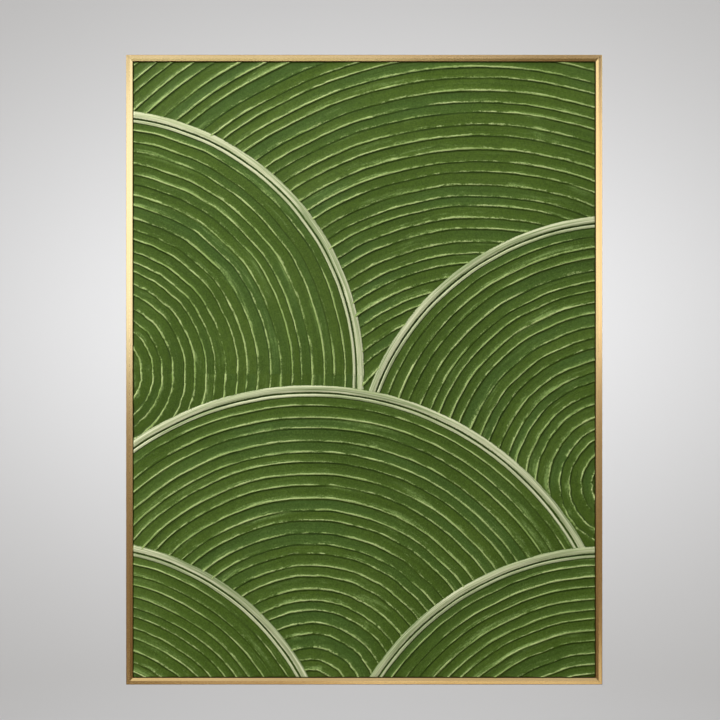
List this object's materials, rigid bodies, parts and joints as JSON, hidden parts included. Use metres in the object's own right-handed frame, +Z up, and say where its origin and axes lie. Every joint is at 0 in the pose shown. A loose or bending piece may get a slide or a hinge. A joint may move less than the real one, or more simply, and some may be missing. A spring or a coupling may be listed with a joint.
{
  "type": "framed canvas wall picture",
  "caption": "Upright wall picture: a relief-painted canvas on a braced wooden stretcher, set in a narrow gold metal tray frame with corner plates and a notched hanger.",
  "frame": {"origin": "top of the middle notch in the hanger's lower edge, in the middle of the strip's thickness, where the nail in the wall bears", "axes": "+Z up along the picture's long side, -Y out of the painted face towards the viewer, +Y into the wall, +X to the viewer's right"},
  "size_m": [0.62, 0.036, 0.82],
  "materials": {
    "gold_metal": "satin gold anodised, brushed along each rail",
    "green_paint": "cotton canvas under combed relief paint in leaf greens with pale ridge tops and cream beads",
    "pine": "planed, unvarnished",
    "zinc_steel": "zinc plated"
  },
  "bodies": {
    "root": {"canvas": "green_paint", "corner_plate_bottom_left": "zinc_steel", "corner_plate_bottom_right": "zinc_steel", "corner_plate_top_left": "zinc_steel", "corner_plate_top_right": "zinc_steel", "frame_rail_bottom": "gold_metal", "frame_rail_left": "gold_metal", "frame_rail_right": "gold_metal", "frame_rail_top": "gold_metal", "hanger": "zinc_steel", "hanger_screw_left": "zinc_steel", "hanger_screw_right": "zinc_steel", "ledge_screw_bottom_left": "zinc_steel", "ledge_screw_bottom_right": "zinc_steel", "ledge_screw_left_lower": "zinc_steel", "ledge_screw_left_upper": "zinc_steel", "ledge_screw_right_lower": "zinc_steel", "ledge_screw_right_upper": "zinc_steel", "plate_screw_bottom_left_a": "zinc_steel", "plate_screw_bottom_left_b": "zinc_steel", "plate_screw_bottom_right_a": "zinc_steel", "plate_screw_bottom_right_b": "zinc_steel", "plate_screw_top_left_a": "zinc_steel", "plate_screw_top_left_b": "zinc_steel", "plate_screw_top_right_a": "zinc_steel", "plate_screw_top_right_b": "zinc_steel", "stretcher_bar_bottom": "pine", "stretcher_bar_left": "pine", "stretcher_bar_right": "pine", "stretcher_bar_top": "pine", "stretcher_brace": "pine"}
  },
  "joints": []
}
